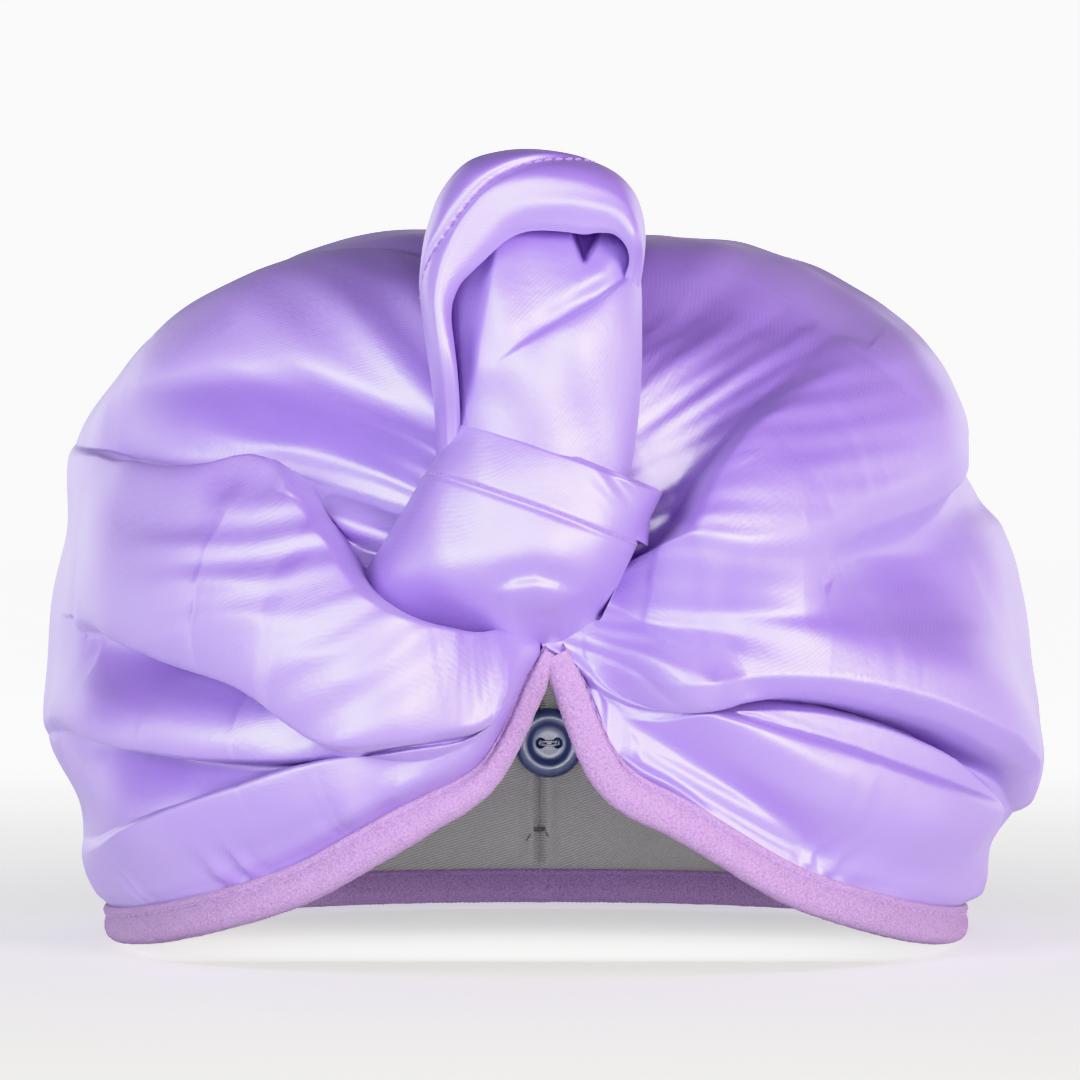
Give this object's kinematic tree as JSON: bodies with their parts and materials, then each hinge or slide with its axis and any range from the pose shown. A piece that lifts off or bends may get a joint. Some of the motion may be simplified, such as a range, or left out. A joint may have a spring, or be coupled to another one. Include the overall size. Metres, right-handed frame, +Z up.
{
  "type": "hair turban towel",
  "caption": "Soft hair-drying turban, gathered at the forehead into a twisted upright knot, lined, with plush bound edges and a button inside the nape.",
  "frame": {"origin": "middle of the head opening, in the plane of the lowest edge of the binding", "axes": "+X towards the wearer's left, -Y towards the forehead and the knot, +Z up towards the crown"},
  "size_m": [0.2381, 0.2562, 0.184],
  "materials": {
    "satin": "glossy satin weave",
    "lining": "matt twill",
    "plush": "short matt pile",
    "button": "gloss",
    "thread": "thin translucent line"
  },
  "bodies": {
    "root": {"satin_hood": "satin", "tail_roll": "satin", "tail_cuff": "satin", "tail_loop": "satin", "towel_lining": "lining", "edge_binding": "plush", "button": "button", "button_thread": "thread"}
  },
  "joints": []
}
